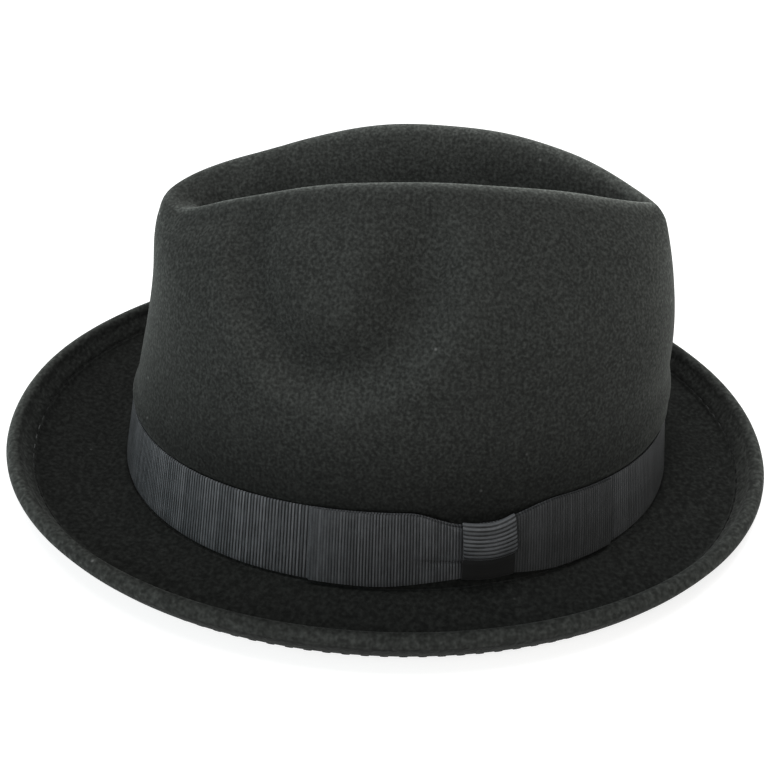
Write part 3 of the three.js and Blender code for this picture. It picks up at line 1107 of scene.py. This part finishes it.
@dataclass
class WeltStitches:
    """The thread that holds the welt down: a dash on each face for every stitch."""

    body: FeltBody
    pitch: float = 6.0
    dash: float = 3.9
    radius: float = 0.36
    sink: float = 0.10
    flatness: float = 0.7
    taper: float = 0.8
    sides: int = 6
    sections: int = 5
    # Painted shade over the thread all round, and painted light on it near the front and back ends.
    painted_shade_level: float = 0.06
    clean_front: float = -84.0
    clean_back: float = 100.0
    lit_end_spread: float = 7.0
    pale_front: float = 1.2
    pale_back: float = 0.6
    weld: float = 0.0005

    def line(self, angle: Array, side: int) -> Array:
        """Points of the felt's upper (side 1) or lower (side -1) face along the stitch line."""
        dense, lengths = SHEET.in_from_rim(angle, 600)
        nearest = np.argmin(np.abs(lengths - self.body.stitch_distance), axis=0)
        rows = dense[nearest, 0][None, :]
        offset = side * SHEET.column("thick", rows) / 2
        if side > 0:
            offset = offset + self.body.raw_edge_height - self.body.stitch_groove
        return (SHEET.point(rows, angle) + SHEET.normal(rows, angle) * offset[..., None])[0]

    def dashes(self, side: int) -> tuple[Array, Array]:
        """Vertices and faces of one face's dashes: tubes laid along the stitch line, round at both ends."""
        dense = np.linspace(0, 2 * np.pi, 3001)[None, :]
        line = self.line(dense, side)
        along = arc_length(line, axis=0)
        count = round(along[-1] / self.pitch)
        begin = np.arange(count) * along[-1] / count + (self.pitch / 2 if side < 0 else 0)
        share = np.linspace(0, 1, self.sections + 2)[1:-1]
        at = (begin[:, None] + self.dash * share[None, :]) % along[-1]
        centre = np.stack([np.interp(at, along, line[:, k]) for k in range(3)], axis=-1)
        heading = unit(centre[:, -1:] - centre[:, :1])
        outward = np.array([0.0, 0.0, float(side)])
        aside = unit(np.cross(heading, outward))
        up = np.cross(aside, heading)
        turn = (np.arange(self.sides) * 2 * np.pi / self.sides)[None, None, :, None]
        girth = np.sqrt(np.clip(1 - (2 * share - 1) ** 2 * self.taper, 0, 1))[None, :, None, None]
        circle = aside[:, :, None] * np.cos(turn) + up[:, :, None] * np.sin(turn) * self.flatness
        points = (centre - up * self.sink)[:, :, None] + circle * self.radius * girth
        tips = points.mean(axis=2, keepdims=True) + np.zeros_like(points)
        points = np.concatenate([tips[:, :1], points, tips[:, -1:]], axis=1)
        vertices = points.reshape(-1, 3)
        one = grid_quads(points.shape[1], self.sides, wrap_rows=False, wrap_columns=True)
        step = points.shape[1] * self.sides
        quads = (one[None] + (np.arange(count) * step)[:, None, None]).reshape(-1, 4)
        return vertices, quads

    def build(self) -> Piece:
        """Joins the dashes of both faces, with painted shade all round but for painted light on a stretch at
        each end.
        """
        upper, upper_quads = self.dashes(1)
        lower, lower_quads = self.dashes(-1)
        vertices = np.concatenate([upper, lower])
        quads = np.concatenate([upper_quads, lower_quads + len(upper)])
        degrees = np.arctan2(vertices[:, 1], vertices[:, 0]) / DEGREE
        lit_ends = self.pale_front * bell(degrees, self.clean_front, self.lit_end_spread)
        lit_ends = lit_ends + self.pale_back * bell(degrees, self.clean_back, self.lit_end_spread)
        tone = mix(self.painted_shade_level, 1.0, lit_ends)
        return make_object(PIECE_NAMES["stitches"], vertices, quads[:, ::-1], tone=tone, weld=self.weld)


class Nodes:
    """Short ways to add nodes to a node tree."""

    tree: bpy.types.NodeTree

    def add(self, kind: str, feeds: dict[str | int, Value] | None = None, **settings: object) -> Node:
        """Adds a node.

        Args:
            kind: The node's type.
            feeds: What its inputs get: a link from a socket, a number, a vector or a colour.
            **settings: Its properties.

        Returns:
            The node.
        """
        node = self.tree.nodes.new(kind)
        for key, value in settings.items():
            setattr(node, key, value)
        for key, value in (feeds or {}).items():
            socket = node.inputs[key]
            if isinstance(value, Socket):
                self.tree.links.new(value, socket)
            else:
                socket.default_value = (*value, 1.0) if socket.type == "RGBA" else value
        return node

    def math(self, operation: str, first: Value, second: Value = 0.0, third: Value = 0.0) -> Socket:
        """Adds a math node on sockets or numbers and gives its output."""
        return self.add("ShaderNodeMath", {0: first, 1: second, 2: third}, operation=operation).outputs[0]

    def weighted(self, *parts: tuple[Socket, float]) -> Socket:
        """The sum of some values, each times its own weight."""
        total = 0.0
        for value, weight in parts:
            total = self.math("MULTIPLY_ADD", value, weight, total)
        return total

    def remap(self, value: Socket, from_range: Span, to_range: Span = (0.0, 1.0)) -> Socket:
        """Maps a value from one range to another, held at its ends."""
        names = ("From Min", "From Max", "To Min", "To Max")
        feeds = {"Value": value, **dict(zip(names, (*from_range, *to_range)))}
        return self.add("ShaderNodeMapRange", feeds, clamp=True).outputs["Result"]

    def noise(self, vector: Socket, scale: Value, detail: float, roughness: float) -> Socket:
        """Adds a noise texture read at a vector and gives its value."""
        feeds = {"Vector": vector, "Scale": scale, "Detail": detail, "Roughness": roughness}
        return self.add("ShaderNodeTexNoise", feeds).outputs["Fac"]

    def scaled(self, vector: Socket, factor: Socket) -> Socket:
        """Multiplies a vector or a colour by a number."""
        feeds = {0: vector, "Scale": factor}
        return self.add("ShaderNodeVectorMath", feeds, operation="SCALE").outputs[0]

    def split(self, vector: Socket) -> Outputs:
        """Parts a vector into X, Y and Z."""
        return self.add("ShaderNodeSeparateXYZ", {"Vector": vector}).outputs


class NodeGroup(Nodes):
    """A shader node group with named numbers for its inputs and outputs."""

    def __init__(self, name: str, inputs: dict[str, float]) -> None:
        """Makes the group and its inputs, each with its default."""
        self.tree = bpy.data.node_groups.new(name, "ShaderNodeTree")
        for socket, value in inputs.items():
            made = self.tree.interface.new_socket(socket, in_out="INPUT", socket_type="NodeSocketFloat")
            made.default_value = value
        self.given = self.add("NodeGroupInput").outputs

    def give(self, **results: Socket) -> Tree:
        """Adds an output for each result, and gives the finished group."""
        for socket in results:
            self.tree.interface.new_socket(socket, in_out="OUTPUT", socket_type="NodeSocketFloat")
        self.add("NodeGroupOutput", results)
        return self.tree


@dataclass(frozen=True)
class FeltGrain:
    """Felt's surface: mottling, a felted grain and specks of lint, with scales in features a metre."""

    broad: float = 55.0
    patch: float = 210.0
    fibre: float = 2600.0
    fibre_share: float = 0.15
    mottle_range: Span = (0.35, 0.65)
    patch_share: float = 0.4
    grain_power: float = 1.5
    specks: float = 170.0
    speck_choice: Span = (0.91, 0.93)
    speck_edge: Span = (0.03, 0.12)
    brim_top: Span = (0.0178, 0.028)
    brim_scale: float = 0.68

    def build(self) -> Tree:
        """Makes a group that gives Mottle, Grain, Lint and Height, coarser on the brim than above it."""
        group = NodeGroup("felt_grain", {"Grain Size mm": 0.8, "Lint": 1.0})
        where = group.add("ShaderNodeTexCoord").outputs["Object"]
        scale = group.math("DIVIDE", 1.0 / MM, group.given["Grain Size mm"])
        shrink = group.remap(group.split(where)["Z"], self.brim_top, (self.brim_scale, 1.0))
        grain = group.noise(group.scaled(where, shrink), scale, 1.0, 0.5)
        broad = group.noise(where, self.broad, 3.0, 0.55)
        patch = group.noise(where, self.patch, 2.0, 0.5)
        mottle = group.weighted((broad, 1 - self.patch_share), (patch, self.patch_share))
        fibre = group.noise(where, self.fibre, 2.0, 0.6)
        speck = group.add("ShaderNodeTexVoronoi", {"Vector": where, "Scale": self.specks}).outputs
        draw = group.add("ShaderNodeSeparateColor", {"Color": speck["Color"]}).outputs["Red"]
        chosen = group.remap(draw, self.speck_choice)
        dot = group.remap(speck["Distance"], self.speck_edge, (1.0, 0.0))
        lint = group.math("MULTIPLY", group.math("MULTIPLY", chosen, dot), group.given["Lint"])
        return group.give(
            Mottle=group.remap(mottle, self.mottle_range),
            Grain=group.math("POWER", group.remap(grain, NOISE_RANGE), self.grain_power),
            Lint=lint,
            Height=group.weighted((grain, 1 - self.fibre_share), (fibre, self.fibre_share)),
        )


@dataclass(frozen=True)
class RibbonWeave:
    """Warp threads that run along the ribbon over its uneven ribs, with scales in features a metre."""

    thread_mm: float = 0.16
    uneven: float = 900.0
    streak: float = 1100.0
    streak_squash: float = 0.16
    patch: float = 150.0
    groove: Span = (0.10, 0.34)
    patch_range: Span = (0.38, 0.62)
    groove_change: Span = (0.8, 1.2)
    streak_share: float = 0.6
    rib_share: float = 0.36
    thread_share: float = 0.12
    thread_height: float = 0.5

    def build(self) -> Tree:
        """Makes a group that gives Thread, Groove and Height over the cloth's own UV map."""
        group = NodeGroup("ribbon_weave", {"Thread mm": self.thread_mm})
        uv = group.add("ShaderNodeUVMap", uv_map="cloth").outputs["UV"]
        place = group.split(uv)
        ribs = group.math("DIVIDE", place["X"], MM)
        across = group.math("DIVIDE", group.math("DIVIDE", place["Y"], MM), group.given["Thread mm"])
        thread = group.math("SINE", group.math("MULTIPLY", across, 2 * np.pi))
        from_groove = group.math("PINGPONG", group.math("FRACT", ribs), 0.5)
        patch = group.noise(uv, self.patch, 2.0, 0.5)
        deep = group.remap(patch, self.patch_range, self.groove_change)
        uneven = group.noise(uv, self.uneven, 2.0, 0.6)
        long_uv = group.add("ShaderNodeMapping", {"Vector": uv, "Scale": (1.0, self.streak_squash, 1.0)})
        streak = group.noise(long_uv.outputs["Vector"], self.streak, 1.0, 0.5)
        number = {"W": group.math("FLOOR", ribs)}
        each = group.add("ShaderNodeTexWhiteNoise", number, noise_dimensions="1D")
        change = group.math("SUBTRACT", each.outputs["Value"], 0.5)
        worn = group.weighted(
            (uneven, 1 - self.streak_share), (streak, self.streak_share), (change, self.rib_share),
            (thread, self.thread_share),
        )
        return group.give(
            Thread=group.remap(worn, NOISE_RANGE),
            # Groove marks where the grooves lie, for their painted shade and their roughness.
            Groove=group.math("MULTIPLY", group.remap(from_groove, self.groove, (1.0, 0.0)), deep),
            Height=group.math("MULTIPLY_ADD", thread, self.thread_height, uneven),
        )


class Finish(Nodes):
    """A material with a Principled BSDF."""

    def __init__(self, name: str, constants: dict[str, object]) -> None:
        """Makes the material and sets constants on the shader's own sockets."""
        self.material = bpy.data.materials.new(name)
        self.material.use_nodes = True
        self.tree = self.material.node_tree
        self.shader = self.tree.nodes["Principled BSDF"].inputs
        for socket, value in constants.items():
            self.shader[socket].default_value = value

    def feed(self, socket: str, source: Socket) -> None:
        """Links one of the shader's sockets."""
        self.tree.links.new(source, self.shader[socket])

    def group(self, tree: Tree, **values: float) -> Outputs:
        """Places a node group and sets its inputs, with underscores for the spaces in their names."""
        feeds = {key.replace("_", " "): value for key, value in values.items()}
        return self.add("ShaderNodeGroup", feeds, node_tree=tree).outputs

    def blend(self, share: Socket, first: Value, second: Value) -> Socket:
        """Mixes two colours by a share and gives the result's socket."""
        return self.add("ShaderNodeMix", {0: share, 6: first, 7: second}, data_type="RGBA").outputs[2]

    def mark(self, name: str) -> Socket:
        """Reads a number that is kept at the mesh's vertices."""
        return self.add("ShaderNodeAttribute", attribute_name=name).outputs["Fac"]

    def with_painted_light(self, colour: Socket) -> Socket:
        """Multiplies a colour by the mesh's painted light and shade."""
        return self.scaled(colour, self.mark("tone"))

    def fuzz(self, gain: float) -> Socket:
        """Painted sheen: how much paler the colour is painted edge on, 1 + gain * f^3, where f is 0 face on
        and 1 edge on.
        """
        facing = self.add("ShaderNodeLayerWeight").outputs["Facing"]
        return self.math("MULTIPLY_ADD", self.math("POWER", facing, 3.0), gain, 1.0)

    def bump(self, height: Socket, distance: float) -> None:
        """Feeds a height in metres times distance to the shader's normal."""
        node = self.add("ShaderNodeBump", {"Distance": distance, "Strength": 1.0, "Height": height})
        self.feed("Normal", node.outputs["Normal"])


@dataclass(frozen=True)
class FeltFinish:
    """Matted black wool: rough, faintly mottled, with a faint sheen and a painted sheen that pales its
    colour edge on.
    """

    deep: Colour = (0.0095, 0.0102, 0.0095)
    worn: Colour = (0.0114, 0.0121, 0.0113)
    pale: Colour = (0.0288, 0.0308, 0.0289)
    lint: Colour = (0.062, 0.064, 0.062)
    roughness: Span = (0.9, 1.0)
    sheen: float = 0.02
    # How strongly the colour is painted paler edge on, as painted sheen.
    fuzz: float = 3.6
    bump: float = 0.00035

    def build(self, grain: Tree) -> Material:
        """Mixes the felt's colours by mottle, grain and lint, and raises its grain."""
        constants = {"Sheen Weight": self.sheen, "Sheen Roughness": 0.4, "Specular IOR Level": 0.04}
        finish = Finish("black_felt", constants)
        surface = finish.group(grain, Grain_Size_mm=1.05, Lint=1.0)
        ground = finish.blend(surface["Mottle"], self.deep, self.worn)
        speckled = finish.blend(surface["Grain"], ground, self.pale)
        linted = finish.blend(surface["Lint"], speckled, self.lint)
        # The colour is scaled by the mesh's painted light and shade and by the painted sheen.
        finish.feed("Base Color", finish.scaled(finish.with_painted_light(linted), finish.fuzz(self.fuzz)))
        finish.feed("Roughness", finish.remap(surface["Grain"], (0.0, 1.0), self.roughness))
        finish.bump(surface["Height"], self.bump)
        return finish.material


@dataclass(frozen=True)
class RibbonFinish:
    """Black grosgrain: a dull silk-like gloss on the ribs and deep grooves between them."""

    rib: Colour = (0.053, 0.056, 0.060)
    # The grooves between the ribs are painted near black as painted shade.
    groove: Colour = (0.002, 0.002, 0.0022)
    shade: Colour = (0.018, 0.020, 0.022)
    roughness: Span = (0.85, 0.42)
    sheen: float = 0.03
    bump: float = 0.00004

    def build(self, weave: Tree) -> Material:
        """Mixes thread colours with painted shade in the grooves, and raises the warp threads."""
        constants = {"Sheen Weight": self.sheen, "Sheen Roughness": 0.4, "Specular IOR Level": 0.3}
        finish = Finish("black_grosgrain", constants)
        cloth = finish.group(weave)
        ribbed = finish.mark("ribbed")
        colour = finish.blend(cloth["Thread"], self.shade, self.rib)
        crown = finish.remap(cloth["Groove"], (0.0, 1.0), (1.0, 0.0))
        shine = finish.math("MULTIPLY", crown, ribbed)
        # Painted shade in the grooves, less where the ribs are flattened.
        grooved = finish.blend(finish.math("MULTIPLY", cloth["Groove"], ribbed), colour, self.groove)
        finish.feed("Base Color", finish.with_painted_light(grooved))
        finish.feed("Roughness", finish.remap(shine, (0.0, 1.0), self.roughness))
        finish.bump(cloth["Height"], self.bump)
        return finish.material


@dataclass(frozen=True)
class ThreadFinish:
    """Twisted sewing thread, a shade lighter than the felt."""

    low: Colour = (0.030, 0.032, 0.031)
    high: Colour = (0.065, 0.068, 0.066)

    def build(self, grain: Tree) -> Material:
        """Mottles the thread with fine grain and scales its colour by its painted light and shade."""
        finish = Finish("black_thread", {"Roughness": 0.8, "Specular IOR Level": 0.12})
        surface = finish.group(grain, Grain_Size_mm=0.3, Lint=0.0)
        finish.feed("Base Color", finish.with_painted_light(finish.blend(surface["Grain"], self.low, self.high)))
        return finish.material


@dataclass(frozen=True)
class Softbox:
    """A square area light."""

    name: str
    place: Point
    power: float
    size: float = 0.8
    colour: Colour = (1.0, 1.0, 1.0)
    aim: Point = (0.0, 0.0, 0.05)

    def build(self) -> None:
        """Adds the light and turns it to its aim."""
        light = bpy.data.lights.new(self.name, "AREA")
        light.shape = "SQUARE"
        light.size = self.size
        light.energy = self.power
        light.color = self.colour
        lamp = place_object(self.name, light)
        lamp.location = self.place
        heading = Vector(self.aim) - Vector(self.place)
        lamp.rotation_euler = heading.to_track_quat("-Z", "Y").to_euler()


@dataclass(frozen=True)
class Studio:
    """A plain pale floor, soft light and the camera at the photograph's angle."""

    frame_side: float = 768.0
    sensor: float = 36.0
    focal: float = 1227.83
    centre: tuple[float, float] = (398.32, 318.51)
    camera_place: Point = (0.38383, 0.00680, 0.29287)
    forward: Point = (-0.8530, -0.0073, -0.5219)
    upward: Point = (-0.5216, -0.0274, 0.8528)
    floor_side: float = 6.0
    floor_colour: Colour = (0.50, 0.50, 0.50)
    floor_glow: float = 0.72
    sky: Colour = (1.0, 1.0, 1.0)
    sky_strength: float = 0.40
    softboxes: tuple[Softbox, ...] = (
        Softbox("key", place=(1.02, -0.589, 0.549), power=9.0, colour=(1.0, 0.985, 0.97)),
        Softbox("top", place=(0.023, 0.0, 1.3), power=16.0),
        Softbox("window", place=(0.32, -1.18, 0.45), power=2.4, size=0.6, colour=(0.50, 0.93, 1.0)),
        Softbox("fill", place=(0.32, 1.18, 0.45), power=3.0, size=0.6, colour=(1.0, 1.0, 0.88)),
    )

    def build(self) -> None:
        """Adds the floor, the world, the lights and the camera."""
        scene = bpy.context.scene
        scene.view_settings.view_transform = "Standard"
        scene.view_settings.look = "None"
        self.build_floor()
        world = bpy.data.worlds.new("studio")
        world.use_nodes = True
        background = world.node_tree.nodes["Background"]
        background.inputs["Color"].default_value = (*self.sky, 1.0)
        background.inputs["Strength"].default_value = self.sky_strength
        scene.world = world
        for softbox in self.softboxes:
            softbox.build()
        self.build_camera()

    def build_floor(self) -> None:
        """Adds a light table at the height the hat rests on."""
        half = self.floor_side / 2
        mesh = bpy.data.meshes.new("floor")
        corners = [(-half, -half, 0), (half, -half, 0), (half, half, 0), (-half, half, 0)]
        mesh.from_pydata(corners, [], [(0, 1, 2, 3)])
        constants = {
            "Base Color": (*self.floor_colour, 1.0),
            "Roughness": 0.9,
            "Specular IOR Level": 0.1,
            "Emission Color": (1.0, 1.0, 1.0, 1.0),
            "Emission Strength": self.floor_glow,
        }
        mesh.materials.append(Finish("light_table", constants).material)
        place_object("floor", mesh)

    def build_camera(self) -> None:
        """Adds the camera, with its lens and its shift worked out from pixels of the photograph."""
        data = bpy.data.cameras.new("camera")
        data.sensor_width = self.sensor
        data.lens = self.focal * self.sensor / self.frame_side
        half = self.frame_side / 2
        data.shift_x = (half - self.centre[0]) / self.frame_side
        data.shift_y = (self.centre[1] - half) / self.frame_side
        data.clip_start = 0.01
        backward = -Vector(self.forward).normalized()
        right = Vector(self.upward).cross(backward).normalized()
        up = backward.cross(right)
        axes = Matrix((right, up, backward)).transposed()
        camera = place_object("camera", data)
        camera.matrix_world = Matrix.Translation(self.camera_place) @ axes.to_4x4()
        bpy.context.scene.camera = camera


def dress(piece: Piece, material: Material) -> None:
    """Gives a piece its material, sets it on the body and logs it."""
    piece.data.materials.clear()
    piece.data.materials.append(material)
    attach(piece, "root")
    log.info("%s: %d faces in %s", piece.name, len(piece.data.polygons), material.name)


def build_hat() -> None:
    """Builds and dresses every piece of the hat."""
    grain = FeltGrain().build()
    felt = FeltFinish().build(grain)
    grosgrain = RibbonFinish().build(RibbonWeave().build())
    thread = ThreadFinish().build(grain)
    body = FeltBody()
    front = Loop(
        PIECE_NAMES["front"], "bow_front_loop", knot_angle=13.0, end_angle=-14.9,
        drawn_from=0.5, crease=1.2, fold_flat=0.8,
    )
    # The back loop carries painted shade, darker than the front, and flatter ribs.
    back = Loop(
        PIECE_NAMES["back"], "bow_back_loop", knot_angle=23.0, end_angle=46.4,
        drawn_from=0.6, swell=0.3, shade=0.44, ribbed=0.6,
    )
    dress(body.build(), felt)
    for part in (Band(), front, back, Knot()):
        dress(part.build(), grosgrain)
    dress(WeltStitches(body).build(), thread)


def main() -> None:
    """Builds the studio and the hat."""
    logging.basicConfig(level=logging.INFO, format="%(name)s: %(message)s")
    Studio().build()
    build_hat()


if __name__ == "__main__":
    main()
